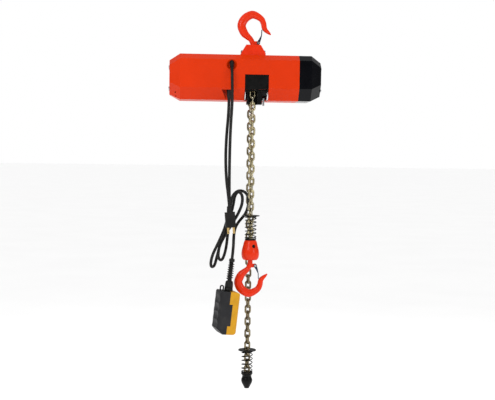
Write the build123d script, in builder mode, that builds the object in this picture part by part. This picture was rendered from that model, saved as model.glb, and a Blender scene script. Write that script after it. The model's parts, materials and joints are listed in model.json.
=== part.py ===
"""Electric chain hoist: suspended body, load chain with hook block, slack chain and corded pendant.

Frame: origin in the middle of the top hook's bowl, X towards the black end cover, Y to the back, +Z up.
The load chain hangs on the Z axis. All sizes are in millimetres.
"""

import os
from math import ceil, cos, degrees, pi, radians, sin, tan

from build123d import *

os.makedirs("parts", exist_ok=True)

# ---------------------------------------------------------------- driving dimensions
# Load chain and its pocket wheel
chain_wire = 6.3
chain_pitch = 19.1
chain_width = 21.0
link_play = 0.3
wheel_pockets = 6
wheel_half_width = 18.0
rim_above_chain = 3.0
pocket_length_play = 3.0
pocket_depth_play = 2.2
tail_links = 49
tail_turn = 20.0
block_turn = 24.0

# Body shells
body_front = -42.0
body_depth = 158.0
body_top = -88.0
body_height = 136.0
body_wall = 4.0
low_chamfer = (30.0, 35.0)
top_chamfer = (20.0, 16.0)
motor_cover_length = 205.0
frame_left = -47.0
frame_width = 103.0
gear_housing_length = 82.0
end_cover_length = 70.0
taper_length = 32.0
taper_side = 30.0
taper_top = 18.0
taper_low = 16.0
bulkhead = 8.0

# Window, chain guide and limit lever in the frame
window_left = -26.0
window_width = 72.0
window_top = -148.0
guide_drop = 36.0
opening_back = 24.0
tail_hole = (30.0, 28.0)
plate_thickness = 2.5
guide_left = -18.0
guide_width = 46.0
guide_lip = 12.0
guide_slot = 27.0
lever_thickness = 5.0

# Gears: two stages, back to the motor's own axis
gear_module = 1.25
motor_pinion_teeth = 14
counter_gear_teeth = 50
counter_pinion_teeth = 16
output_gear_teeth = 48
tooth_share = 0.40
addendum = 0.8
dedendum = 1.0
fine_gear_width = 12.0
coarse_gear_width = 16.0

# Shafts, motor and brake
motor_shaft_radius = 7.0
rotor_seat_radius = 9.0
rotor_radius = 30.0
air_gap = 0.6
stator_radius = 56.0
stator_length = 66.0
sheave_shaft_radius = 15.0
counter_shaft_radius = 6.0
bearing_play = 0.05
brake_radius = 45.0
brake_disc_radius = 36.0
brake_gap = 0.8

# Hooks and latches
hook_shank_radius = 8.0
shank_play = 0.08
hook_drop = 777.0
latch_pin_radius = 2.0
latch_pin_play = 0.06
latch_sheet = 2.0
lug_half = 5.0

# Suspension bracket
bracket_top = -57.0
bracket_half_top = 22.0
bracket_half_foot = 37.0
bracket_half_depth = 20.0
bracket_bolt_radius = 4.0

# Hook block, stop plate and spring
block_top = -649.0
block_bottom = -709.0
block_pin_z = -666.4
block_pin_radius = 3.75
block_radius = 27.0
stop_plate_radius = 27.0
stop_plate_top = -573.0
stop_spring_radius = 16.5
spring_wire = 1.5
stop_spring_turns = 5.5

# Slack-end stop
tail_disc_rise = 72.5
tail_disc_radius = 28.0
tail_spring_radius = 16.5
tail_spring_turns = 5.0
weight_pin_depth = 16.65
weight_height = 49.5
weight_radius = 18.0
tail_pin_radius = 2.5

# Cords, glands and plug
cord_radius = 4.5
plug_size = (31.0, 22.0, 46.0)
blade_size = (7.0, 1.6, 19.0)

# Pendant
pendant_top = (-67.0, -24.0, -802.0)
pendant_tilt = 6.0
pendant_turn = 18.0
pendant_height = 130.0
pendant_depth = 66.0
pendant_width = 50.0
pendant_wall = 2.5
button_radius = 8.0
button_play = 0.05
button_drops = (24.0, 52.0)

# ---------------------------------------------------------------- derived places
body_back = body_front + body_depth
body_bottom = body_top - body_height
axis_z = body_top - body_height / 2
link_inner = chain_pitch + link_play
link_length = link_inner + 2 * chain_wire
sheave_radius = wheel_pockets * 2 * chain_pitch / (2 * pi)
axis_y = sheave_radius
tail_y = 2 * sheave_radius
frame_right = frame_left + frame_width
gear_right = frame_right + gear_housing_length
left_end = frame_left - motor_cover_length
right_end = gear_right + end_cover_length
first_link_z = block_pin_z - block_pin_radius - link_play + link_inner / 2
centre_distance = gear_module * (motor_pinion_teeth + counter_gear_teeth) / 2
counter_y = axis_y + centre_distance

pendant_cord_route = [
    (-66, -47, -128), (-66, -59, -144), (-65, -61, -178), (-64, -59, -232), (-68, -50, -308),
    (-69, -37, -398), (-68, -24, -488), (-66, -12, -552), (-77, -10, -608), (-98, -13, -656),
    (-118, -14, -697), (-122, -4, -731), (-109, 16, -734), (-101, 19, -702), (-91, 14, -660),
    (-75, 10, -616), (-61, 8, -574), (-53, 6, -540), (-50, 0, -514), (-40, -11, -499),
    (-28, -20, -509), (-27, -21, -535), (-38, -16, -565), (-56, -4, -598), (-78, 0, -634),
    (-96, 1, -670), (-99, 2, -706), (-85, 20, -716), (-74, 23, -684), (-69, 21, -640),
    (-67, 20, -592), (-64, 20, -548), (-55, 23, -511), (-33, 30, -496), (-9, 37, -507),
    (-3, 40, -537), (-12, 37, -570), (-34, 26, -593), (-47, 10, -612), (-52, -10, -636),
    (-53.1, -24, -669.7), (-56.65, -24, -703.54),
]
power_cord_route = [
    (-72.5, -27, -222), (-72.5, -27, -240), (-74, -29, -275), (-79, -32, -335), (-81, -36, -400),
    (-78, -38, -465), (-70.5, -36, -515.1), (-68, -36, -544),
]


# ---------------------------------------------------------------- shared steps
def save(piece, name):
    """Label a finished piece and write its STEP file."""
    piece.part.label = name
    export_step(piece.part, f"parts/{name}.step")


def body_face(x, inset=0.0, wall=0.0):
    """Eight-sided section of the body at x. inset runs from 0, full size, to 1, the tapered end."""
    front = body_front + taper_side * inset
    back = body_back - taper_side * inset
    top = body_top - taper_top * inset
    bottom = body_bottom + taper_low * inset
    with BuildSketch(Plane.YZ.offset(x)) as face:
        with BuildLine():
            Polyline(
                (front + top_chamfer[0], top),
                (back - top_chamfer[0], top),
                (back, top - top_chamfer[1]),
                (back, bottom + low_chamfer[1]),
                (back - low_chamfer[0], bottom),
                (front + low_chamfer[0], bottom),
                (front, bottom + low_chamfer[1]),
                (front, top - top_chamfer[1]),
                close=True,
            )
        make_face()
        if wall:
            offset(amount=-wall, kind=Kind.INTERSECTION)
    return face.sketch


def tapered_cup(open_x, end_x):
    """Shell with one open end at open_x and a tapered closed end at end_x."""
    way = 1 if end_x > open_x else -1
    shoulder_x = end_x - way * taper_length
    extrude(body_face(open_x), amount=shoulder_x - open_x)
    loft([body_face(shoulder_x), body_face(end_x, inset=1)], ruled=True)
    extrude(body_face(open_x, wall=body_wall), amount=shoulder_x - open_x, mode=Mode.SUBTRACT)
    inner_end = body_face(end_x - way * body_wall, inset=1, wall=body_wall)
    loft([body_face(shoulder_x, wall=body_wall), inner_end], ruled=True, mode=Mode.SUBTRACT)


def disc_x(x0, x1, radius, hole=0.0, y=axis_y, z=axis_z, mode=Mode.ADD):
    """Disc or ring whose axis runs along X from x0 to x1."""
    with BuildSketch(Plane.YZ.offset(x0)) as ring:
        with Locations((y, z)):
            Circle(radius)
            if hole:
                Circle(hole, mode=Mode.SUBTRACT)
    extrude(ring.sketch, amount=x1 - x0, mode=mode)


def disc_z(z0, z1, radius, hole=0.0, y=0.0, mode=Mode.ADD):
    """Disc or ring whose axis is vertical, from z0 up to z1."""
    with BuildSketch(Plane.XY.offset(z0)) as ring:
        with Locations((0, y)):
            Circle(radius)
            if hole:
                Circle(hole, mode=Mode.SUBTRACT)
    extrude(ring.sketch, amount=z1 - z0, mode=mode)


def block(x, y, z, mode=Mode.ADD):
    """Box from its lowest to its highest value on each axis, each given as a pair."""
    with BuildSketch(Plane.XY.offset(z[0])) as base:
        with Locations(((x[0] + x[1]) / 2, (y[0] + y[1]) / 2)):
            Rectangle(x[1] - x[0], y[1] - y[0])
    extrude(base.sketch, amount=z[1] - z[0], mode=mode)


def gear(x0, x1, teeth, y, turn):
    """Spur gear with straight-flanked teeth, one tooth centred at the angle turn from +Y."""
    pitch_radius = gear_module * teeth / 2
    corners = []
    for tooth in range(teeth):
        middle = radians(turn) + 2 * pi * tooth / teeth
        for rise, side in ((-dedendum, -1), (addendum, -1), (addendum, 1), (-dedendum, 1)):
            radius = pitch_radius + rise * gear_module
            half = tooth_share * pi * gear_module / 2 - rise * gear_module * tan(radians(20))
            angle = middle + side * half / radius
            corners.append((y + radius * cos(angle), axis_z + radius * sin(angle)))
    with BuildSketch(Plane.YZ.offset(x0)) as outline:
        with BuildLine():
            Polyline(*corners, close=True)
        make_face()
    extrude(outline.sketch, amount=x1 - x0)


def direction(start, end):
    """Unit vector from one point to another."""
    return (Vector(*end) - Vector(*start)).normalized()


def corner_radii(route):
    """Largest arc that each corner's two runs allow."""
    radii = []
    for before, corner, after in zip(route, route[1:], route[2:]):
        run_in = Vector(*corner) - Vector(*before)
        run_out = Vector(*after) - Vector(*corner)
        turn = radians(run_in.get_angle(run_out))
        radii.append(0.45 * min(run_in.length, run_out.length) / tan(turn / 2))
    return radii


def cord_tube(route):
    """Round cord along the route, as straight runs joined by tangent arcs."""
    radii = corner_radii(route)
    with BuildLine():
        path = FilletPolyline(*route, radius=radii)
    with BuildSketch(Plane(origin=route[0], z_dir=direction(route[0], route[1]))) as section:
        Circle(cord_radius)
    sweep(section.sketch, path=path)
    print("cord length", round(path.length), "tightest arc", round(min(radii), 1))
    return pi * cord_radius**2 * path.length


# ---------------------------------------------------------------- chain
with BuildPart() as link:
    crown_radius = (chain_width - chain_wire) / 2
    straight = (link_inner + chain_wire) / 2 - crown_radius
    with BuildLine(Plane.XZ) as link_line:
        Line((crown_radius, -straight), (crown_radius, straight))
        ThreePointArc((crown_radius, straight), (0, straight + crown_radius), (-crown_radius, straight))
        Line((-crown_radius, straight), (-crown_radius, -straight))
        ThreePointArc((-crown_radius, -straight), (0, -straight - crown_radius), (crown_radius, -straight))
    with BuildSketch(Plane(origin=(crown_radius, 0, -straight), z_dir=(0, 0, 1))):
        Circle(chain_wire / 2)
    sweep()


def link_place(number):
    """Place of a link, counted from the hook block up the load fall, over the wheel and down the tail."""
    along = first_link_z + number * chain_pitch - axis_z
    quarter = 90 * (number % 2)
    if along < 0:
        twist = block_turn * (1 - number / hanging_links)
        return Location((0, 0, axis_z + along), (0, 0, quarter + twist))
    if along < pi * sheave_radius:
        angle = along / sheave_radius
        y = sheave_radius * (1 - cos(angle))
        z = axis_z + sheave_radius * sin(angle)
        return Location((0, y, z), (-degrees(angle), 0, 0)) * Location((0, 0, 0), (0, 0, quarter))
    drop = along - pi * sheave_radius
    twist = tail_turn * drop / (tail_links * chain_pitch)
    return Location((0, tail_y, axis_z - drop), (0, 0, quarter + twist))


# One link is left out on each side of the wheel, so that straight falls and the wheel can move.
over_wheel = ceil((axis_z - first_link_z) / chain_pitch)
hanging_links = over_wheel - 1
wheel_links = 5
tail_first = over_wheel + wheel_links + 1

with BuildPart() as load_chain:
    with Locations(*[link_place(number) for number in range(hanging_links)]):
        add(link.part)
save(load_chain, "load_chain")

with BuildPart() as wheel_chain:
    with Locations(*[link_place(over_wheel + number) for number in range(wheel_links)]):
        add(link.part)
save(wheel_chain, "wheel_chain")

with BuildPart() as slack_chain:
    with Locations(*[link_place(tail_first + number) for number in range(tail_links)]):
        add(link.part)
save(slack_chain, "slack_chain")
last_link = link_place(tail_first + tail_links - 1)
tail_pin_z = last_link.position.Z - link_inner / 2 + link_play + tail_pin_radius
weight_top = tail_pin_z + weight_pin_depth
tail_disc_top = weight_top + tail_disc_rise

# ---------------------------------------------------------------- load sheave and gears
with BuildPart() as load_sheave:
    wheel_rim = sheave_radius + rim_above_chain
    shaft_end = frame_right + coarse_gear_width + 32
    disc_x(frame_left + 1, shaft_end, sheave_shaft_radius)
    disc_x(-wheel_half_width, wheel_half_width, wheel_rim)
    disc_x(frame_left + bulkhead + 0.5, -wheel_half_width, sheave_shaft_radius + 3)
    disc_x(wheel_half_width, frame_right - bulkhead - 0.5, sheave_shaft_radius + 3)
    groove_floor = sheave_radius - chain_width / 2 - 1
    groove_half = chain_wire / 2 + 1
    disc_x(-groove_half, groove_half, wheel_rim + 1, hole=groove_floor, mode=Mode.SUBTRACT)
    pocket_floor = sheave_radius - chain_wire / 2 - pocket_depth_play
    flat_link = over_wheel + 1 if over_wheel % 2 else over_wheel
    pocket_angle = degrees((first_link_z + flat_link * chain_pitch - axis_z) / sheave_radius)
    for pocket in range(wheel_pockets):
        with BuildSketch(Plane.YZ.offset(-(chain_width + 2) / 2)):
            with Locations((axis_y, axis_z)):
                with PolarLocations(pocket_floor + 10, 1, 180 - pocket_angle - 360 * pocket / wheel_pockets):
                    Rectangle(20, link_length + pocket_length_play)
        extrude(amount=chain_width + 2, mode=Mode.SUBTRACT)
    disc_x(frame_left, shaft_end + 1, motor_shaft_radius + 1, mode=Mode.SUBTRACT)
save(load_sheave, "load_sheave")

coarse_left = frame_right + 24
coarse_right = coarse_left + coarse_gear_width
fine_left = shaft_end + 6
fine_right = fine_left + fine_gear_width
plate_right = gear_right
plate_left = gear_right - bulkhead

with BuildPart() as output_gear:
    gear(coarse_left, coarse_right, output_gear_teeth, axis_y, 0)
    disc_x(coarse_left, coarse_right, sheave_shaft_radius, mode=Mode.SUBTRACT)
save(output_gear, "output_gear")

with BuildPart() as counter_gear:
    disc_x(frame_right - bulkhead + 1, plate_right - 1, counter_shaft_radius, y=counter_y)
    gear(fine_left, fine_right, counter_gear_teeth, counter_y, 180 + 180 / counter_gear_teeth)
    gear(coarse_left - 1, coarse_right + 1, counter_pinion_teeth, counter_y, 180 + 180 / counter_pinion_teeth)
save(counter_gear, "counter_gear")

# ---------------------------------------------------------------- motor
rotor_right = frame_left - 83
rotor_left = rotor_right - stator_length
winding_length = 12.0
end_plate_right = rotor_left - winding_length - 3
end_plate_left = end_plate_right - 7
brake_coil_left = frame_left - 22
armature_right = brake_coil_left - brake_gap
armature_left = armature_right - 4
disc_right = armature_left - 0.3
disc_left = disc_right - 5
brake_plate_right = disc_left - 0.3
brake_plate_left = brake_plate_right - 4
motor_bearing_right = frame_left - 5
fan_right = end_plate_left - 6
fan_left = fan_right - 12

with BuildPart() as motor_shaft:
    disc_x(fan_left - 3, plate_right - 1, motor_shaft_radius)
    disc_x(rotor_left - 4, rotor_right + 4, rotor_seat_radius)
    gear(fine_left - 1, fine_right + 1, motor_pinion_teeth, axis_y, 0)
save(motor_shaft, "motor_shaft")

with BuildPart() as rotor_core:
    disc_x(rotor_left, rotor_right, rotor_radius, hole=rotor_seat_radius)
    bar_count = 18
    with BuildSketch(Plane.YZ.offset(rotor_left)):
        with Locations((axis_y, axis_z)):
            with PolarLocations(rotor_radius - 3, bar_count):
                Circle(1.6)
    extrude(amount=-3)
    with BuildSketch(Plane.YZ.offset(rotor_right)):
        with Locations((axis_y, axis_z)):
            with PolarLocations(rotor_radius - 3, bar_count):
                Circle(1.6)
    extrude(amount=3)
save(rotor_core, "rotor_core")

with BuildPart() as stator_core:
    disc_x(rotor_left, rotor_right, stator_radius, hole=rotor_radius + air_gap)
save(stator_core, "stator_core")

with BuildPart() as stator_windings:
    disc_x(rotor_left - winding_length, rotor_left, stator_radius - 5, hole=rotor_radius + 4)
    disc_x(rotor_right, rotor_right + winding_length, stator_radius - 5, hole=rotor_radius + 4)
    fillet(stator_windings.edges().filter_by(GeomType.CIRCLE).group_by(Axis.X)[0], 3)
    fillet(stator_windings.edges().filter_by(GeomType.CIRCLE).group_by(Axis.X)[-1], 3)
save(stator_windings, "stator_windings")

with BuildPart() as motor_end_plate:
    extrude(body_face(end_plate_left, wall=body_wall), amount=end_plate_right - end_plate_left)
    disc_x(end_plate_left, end_plate_right, motor_shaft_radius + bearing_play + 9, mode=Mode.SUBTRACT)
    with BuildSketch(Plane.YZ.offset(end_plate_left)):
        with Locations((axis_y, axis_z)):
            with PolarLocations(40, 6):
                Circle(10)
    extrude(amount=end_plate_right - end_plate_left, mode=Mode.SUBTRACT)
save(motor_end_plate, "motor_end_plate")

with BuildPart() as cooling_fan:
    disc_x(fan_left, fan_right, 13, hole=motor_shaft_radius)
    disc_x(fan_right - 2, fan_right, 38, hole=motor_shaft_radius)
    with BuildSketch(Plane.YZ.offset(fan_left)):
        with Locations((axis_y, axis_z)):
            with PolarLocations(25, 8):
                Rectangle(26, 1.8)
    extrude(amount=fan_right - fan_left)
save(cooling_fan, "cooling_fan")

# ---------------------------------------------------------------- brake
pillar_ring = brake_radius - 4

with BuildPart() as brake_coil:
    disc_x(brake_coil_left, frame_left, brake_radius, hole=motor_shaft_radius + bearing_play + 7)
    disc_x(brake_coil_left, brake_coil_left + 14, 32, hole=22, mode=Mode.SUBTRACT)
    disc_x(brake_coil_left + 0.5, brake_coil_left + 14, 32, hole=22)
save(brake_coil, "brake_coil")

with BuildPart() as brake_armature:
    disc_x(armature_left, armature_right, pillar_ring - 3.5, hole=motor_shaft_radius + 3)
save(brake_armature, "brake_armature")

with BuildPart() as brake_disc:
    disc_x(disc_left, disc_right, brake_disc_radius, hole=motor_shaft_radius)
save(brake_disc, "brake_disc")

with BuildPart() as brake_plate:
    disc_x(brake_plate_left, brake_plate_right, brake_radius, hole=motor_shaft_radius + 3)
    with BuildSketch(Plane.YZ.offset(brake_plate_right)):
        with Locations((axis_y, axis_z)):
            with PolarLocations(pillar_ring, 3, start_angle=90):
                Circle(2.5)
    extrude(amount=brake_coil_left - brake_plate_right)
save(brake_plate, "brake_plate")

# ---------------------------------------------------------------- shaft bearings
with BuildPart() as shaft_bearings:
    inner = motor_shaft_radius + bearing_play
    disc_x(end_plate_left, end_plate_right, inner + 9, hole=inner)
    disc_x(motor_bearing_right - 9, motor_bearing_right, inner + 7, hole=inner)
    disc_x(plate_left, plate_right, inner + 6, hole=inner)
    inner = sheave_shaft_radius + bearing_play
    disc_x(frame_left, frame_left + bulkhead, inner + 8, hole=inner)
    disc_x(frame_right - bulkhead, frame_right, inner + 8, hole=inner)
    inner = counter_shaft_radius + bearing_play
    disc_x(frame_right - bulkhead, frame_right, inner + 6, hole=inner, y=counter_y)
    disc_x(plate_left, plate_right, inner + 6, hole=inner, y=counter_y)
save(shaft_bearings, "shaft_bearings")

# ---------------------------------------------------------------- body shells
dimple_rise = 8.0
dimple_radius = 16.0
dimple_wall = 2.5
dimple_floor_radius = 9.0
dimple_depth = 9.0
pocket_z = -194.0
pocket_left = -95.0
pocket_right = -61.0
pocket_slant = 15.0
pocket_depth = 29.0
gland_radius = 7.0
gland_axis = direction(pendant_cord_route[1], pendant_cord_route[0])

dimple = pendant_cord_route[0]
dimple_middle = (dimple[0], dimple[2] + dimple_rise)

with BuildPart() as pocket_walls:
    with BuildSketch(Plane.XZ.offset(-body_front)):
        with Locations(dimple_middle):
            Rectangle(2 * (dimple_radius + dimple_wall), 2 * (dimple_radius + dimple_wall))
    extrude(amount=-dimple_depth - body_wall - 1)
    block(
        (pocket_left - body_wall, pocket_right + body_wall),
        (body_front, body_front + pocket_depth + body_wall),
        (body_bottom, pocket_z + body_wall),
    )
    extrude(body_face(left_end + taper_length), amount=motor_cover_length, mode=Mode.INTERSECT)

with BuildPart() as motor_cover:
    tapered_cup(frame_left, left_end)
    add(pocket_walls.part)
    with BuildSketch(Plane.XZ.offset(-body_front)):
        with Locations(dimple_middle):
            Circle(dimple_radius)
    with BuildSketch(Plane.XZ.offset(-body_front - dimple_depth)):
        with Locations(dimple_middle):
            Circle(dimple_floor_radius)
    loft(mode=Mode.SUBTRACT)
    with BuildSketch(Plane(origin=dimple, z_dir=gland_axis)):
        Circle(gland_radius)
    extrude(amount=30, mode=Mode.SUBTRACT)
    with BuildSketch(Plane.XZ.offset(-body_front)):
        with BuildLine():
            Polyline(
                (pocket_left, pocket_z),
                (pocket_right, pocket_z),
                (pocket_right, body_bottom - 1),
                (pocket_left + pocket_slant, body_bottom - 1),
                close=True,
            )
        make_face()
    extrude(amount=-pocket_depth, mode=Mode.SUBTRACT)
    with BuildSketch(Plane.XY.offset(pocket_z)):
        with Locations(power_cord_route[0][:2]):
            Circle(gland_radius)
    extrude(amount=body_wall + 1, mode=Mode.SUBTRACT)
    with BuildSketch(Plane.XZ):
        with Locations((left_end + 18, body_bottom + 21), (left_end + 20, body_bottom + 10)):
            Circle(2)
    extrude(amount=-body_front, mode=Mode.SUBTRACT)
save(motor_cover, "motor_cover")

guide_right = guide_left + guide_width
plate_back = body_front + body_wall + plate_thickness
guide_top = axis_z - guide_drop
guide_bottom = body_bottom - guide_lip
guide_flange = 5.0
boss_depth = 18.0

with BuildPart() as centre_frame:
    extrude(body_face(frame_left), amount=frame_width)
    hollow = body_face(frame_left + bulkhead, wall=body_wall)
    extrude(hollow, amount=frame_width - 2 * bulkhead, mode=Mode.SUBTRACT)
    block(
        (frame_left + bulkhead, frame_right - bulkhead),
        (-bracket_half_depth, bracket_half_depth),
        (body_top - boss_depth, body_top),
    )
    inner = sheave_shaft_radius + bearing_play + 8
    disc_x(frame_left, frame_right, inner, mode=Mode.SUBTRACT)
    inner = counter_shaft_radius + bearing_play + 6
    disc_x(frame_right - bulkhead, frame_right, inner, y=counter_y, mode=Mode.SUBTRACT)
    block(
        (window_left, window_left + window_width),
        (body_front - 1, plate_back + 0.5),
        (guide_top, window_top),
        mode=Mode.SUBTRACT,
    )
    block(
        (window_left, window_left + window_width),
        (body_front - 1, opening_back),
        (body_bottom - 1, guide_top),
        mode=Mode.SUBTRACT,
    )
    block(
        (-tail_hole[0] / 2, tail_hole[0] / 2),
        (tail_y - tail_hole[1] / 2, tail_y + tail_hole[1] / 2),
        (body_bottom - 1, body_bottom + body_wall + 1),
        mode=Mode.SUBTRACT,
    )
    with BuildSketch(Plane.XY.offset(body_top - boss_depth)):
        with GridLocations(2 * (bracket_half_foot - 7), 2 * (bracket_half_depth - 8), 2, 2):
            Circle(bracket_bolt_radius)
    extrude(amount=boss_depth, mode=Mode.SUBTRACT)
save(centre_frame, "centre_frame")

with BuildPart() as gear_housing:
    extrude(body_face(frame_right), amount=gear_housing_length)
    extrude(body_face(frame_right, wall=body_wall), amount=gear_housing_length, mode=Mode.SUBTRACT)
save(gear_housing, "gear_housing")

with BuildPart() as gear_plate:
    extrude(body_face(plate_left, wall=body_wall), amount=plate_right - plate_left)
    disc_x(plate_left, plate_right, motor_shaft_radius + bearing_play + 6, mode=Mode.SUBTRACT)
    disc_x(plate_left, plate_right, counter_shaft_radius + bearing_play + 6, y=counter_y, mode=Mode.SUBTRACT)
save(gear_plate, "gear_plate")

with BuildPart() as end_cover:
    tapered_cup(gear_right, right_end)
save(end_cover, "end_cover")

screw_rows = (axis_z + 30, axis_z - 34)
screw_columns = (axis_y - 32, axis_y + 32)

with BuildPart() as housing_screws:
    for end_x, way in ((left_end, -1), (right_end, 1)):
        for row in screw_rows:
            for column in screw_columns:
                disc_x(end_x, end_x + way * 2.5, 4.5, y=column, z=row)
    with BuildSketch(Plane.YZ.offset(left_end - 2.5)):
        with Locations(*[(column, row) for row in screw_rows for column in screw_columns]):
            RegularPolygon(2.3, 6)
    extrude(amount=1.8, mode=Mode.SUBTRACT)
    with BuildSketch(Plane.YZ.offset(right_end + 2.5)):
        with Locations(*[(column, row) for row in screw_rows for column in screw_columns]):
            RegularPolygon(2.3, 6)
    extrude(amount=-1.8, mode=Mode.SUBTRACT)
    for x in (frame_left + bulkhead + 7, frame_right - bulkhead - 7):
        with BuildSketch(Plane.XY.offset(guide_top)):
            with Locations((x, -20), (x, 10)):
                RegularPolygon(4, 6)
        extrude(amount=3)
save(housing_screws, "housing_screws")

# ---------------------------------------------------------------- electrical pieces in the end cover
with BuildPart() as control_gear:
    block((plate_right, plate_right + 30), (2, 58), (axis_z - 40, axis_z + 14))
    block((plate_right + 30, plate_right + 36), (10, 50), (axis_z - 30, axis_z + 4))
    fillet(control_gear.edges().filter_by(Axis.X), 1.5)
    with BuildSketch(Plane.XZ.offset(5)):
        with Locations((plate_right + 17.2, body_top - body_wall - 20)):
            Circle(15)
    extrude(amount=-72)
save(control_gear, "control_gear")

# ---------------------------------------------------------------- window plate, chain guide and limit lever
with BuildPart() as window_plate:
    block(
        (frame_left + bulkhead + 1, frame_right - bulkhead - 1),
        (body_front + body_wall, plate_back),
        (body_bottom + low_chamfer[1] + 3, window_top + 8),
    )
    block(
        (window_left + 0.5, window_left + window_width - 0.5),
        (body_front + body_wall, plate_back),
        (guide_top, body_bottom + low_chamfer[1] + 3),
    )
save(window_plate, "window_plate")

with BuildPart() as chain_guide:
    block((frame_left + bulkhead, frame_right - bulkhead), (-28, 16), (guide_top - guide_flange, guide_top))
    block((guide_left, guide_right), (-20, 16), (guide_bottom, guide_top - guide_flange))
    block(
        (-guide_slot / 2, guide_slot / 2),
        (-21, guide_slot / 2 - 0.5),
        (guide_bottom, guide_top),
        mode=Mode.SUBTRACT,
    )
    fillet(chain_guide.edges().filter_by(Axis.Z).sort_by(Axis.Y)[-2:], 3)
save(chain_guide, "chain_guide")

lever_pin_y = 10.0
lever_pin_z = body_bottom + 6.0
lever_x = guide_right + 2.0

with BuildPart() as limit_lever:
    with BuildSketch(Plane.YZ.offset(lever_x)):
        with Locations((lever_pin_y, lever_pin_z)):
            Circle(5)
        with BuildLine():
            Polyline(
                (lever_pin_y, lever_pin_z + 4),
                (-14, lever_pin_z + 4),
                (-18, lever_pin_z),
                (-18, guide_bottom - 4),
                (-12, guide_bottom - 4),
                (-12, lever_pin_z - 4),
                (lever_pin_y, lever_pin_z - 4),
                close=True,
            )
        make_face()
        with Locations((lever_pin_y, lever_pin_z)):
            Circle(2 + latch_pin_play, mode=Mode.SUBTRACT)
    extrude(amount=lever_thickness)
save(limit_lever, "limit_lever")

with BuildPart() as limit_switch:
    disc_x(guide_right, lever_x + lever_thickness + 1.5, 2, y=lever_pin_y, z=lever_pin_z)
    disc_x(lever_x + lever_thickness + 0.5, lever_x + lever_thickness + 2, 3.5, y=lever_pin_y, z=lever_pin_z)
    switch_top = guide_top - guide_flange
    block((guide_right + 0.5, frame_right - bulkhead), (-16, 6), (switch_top - 12, switch_top))
    block((lever_x + 1, lever_x + 4), (-9, -6), (switch_top - 14, switch_top - 12))
save(limit_switch, "limit_switch")

# ---------------------------------------------------------------- suspension bracket
roof = 8.5

with BuildPart() as suspension_bracket:
    with BuildSketch(Plane.XZ.offset(bracket_half_depth)):
        with BuildLine():
            Polyline(
                (-bracket_half_top, bracket_top),
                (bracket_half_top, bracket_top),
                (bracket_half_foot, body_top + 6),
                (bracket_half_foot, body_top),
                (-bracket_half_foot, body_top),
                (-bracket_half_foot, body_top + 6),
                close=True,
            )
        make_face()
    extrude(amount=-2 * bracket_half_depth)
    fillet(suspension_bracket.edges().filter_by(Axis.Y).group_by(Axis.Z)[-1], 3)
    block((-15, 15), (-14, 14), (body_top, bracket_top - roof), mode=Mode.SUBTRACT)
    disc_z(bracket_top - roof, bracket_top, hook_shank_radius + shank_play, mode=Mode.SUBTRACT)
    with BuildSketch(Plane.XY.offset(body_top)):
        with GridLocations(2 * (bracket_half_foot - 7), 2 * (bracket_half_depth - 8), 2, 2):
            Circle(bracket_bolt_radius)
    extrude(amount=40, mode=Mode.SUBTRACT)
    with BuildSketch(Plane.XY.offset(body_top + 8)):
        with GridLocations(2 * (bracket_half_foot - 7), 2 * (bracket_half_depth - 8), 2, 2):
            Circle(bracket_bolt_radius + 3)
    extrude(amount=40, mode=Mode.SUBTRACT)
save(suspension_bracket, "suspension_bracket")

with BuildPart() as bracket_bolts:
    with BuildSketch(Plane.XY.offset(body_top - boss_depth)):
        with GridLocations(2 * (bracket_half_foot - 7), 2 * (bracket_half_depth - 8), 2, 2):
            Circle(bracket_bolt_radius)
    extrude(amount=boss_depth + 8)
    with BuildSketch(Plane.XY.offset(body_top + 8)):
        with GridLocations(2 * (bracket_half_foot - 7), 2 * (bracket_half_depth - 8), 2, 2):
            Circle(bracket_bolt_radius + 2.5)
            RegularPolygon(3.4, 6, mode=Mode.SUBTRACT)
    extrude(amount=6)
save(bracket_bolts, "bracket_bolts")

# ---------------------------------------------------------------- hooks
# The hook's centre line round its bowl, as angle, radius to the middle, radial thickness and width.
bowl_stations = [
    (100, 40.4, 16.7, 17.0), (120, 35.0, 20.7, 18.5), (145, 34.0, 25.5, 20.0), (180, 35.6, 26.8, 21.0),
    (210, 34.7, 27.2, 21.0), (240, 34.4, 26.4, 21.0), (270, 35.2, 24.9, 20.0), (312, 32.8, 19.8, 18.0),
    (340, 32.2, 17.9, 16.5),
]
# The nose past the bowl, as x, z, thickness and width.
nose_stations = [
    (33.4, 4.0, 16.6, 15.5), (38.6, 11.6, 13.8, 13.5), (45.9, 17.8, 10.0, 10.5), (52.4, 23.6, 4.4, 5.0),
]
neck_height = 54.0
latch_pivot = (15.5, 50.0)


def hook_points():
    """Stations from the neck to the nose, as x, z, thickness and width about the bowl's centre."""
    width = 2 * hook_shank_radius
    points = [(0.0, neck_height, width, width)]
    for angle, radius, thickness, depth in bowl_stations:
        points.append((radius * cos(radians(angle)), radius * sin(radians(angle)), thickness, depth))
    return points + nose_stations


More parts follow.
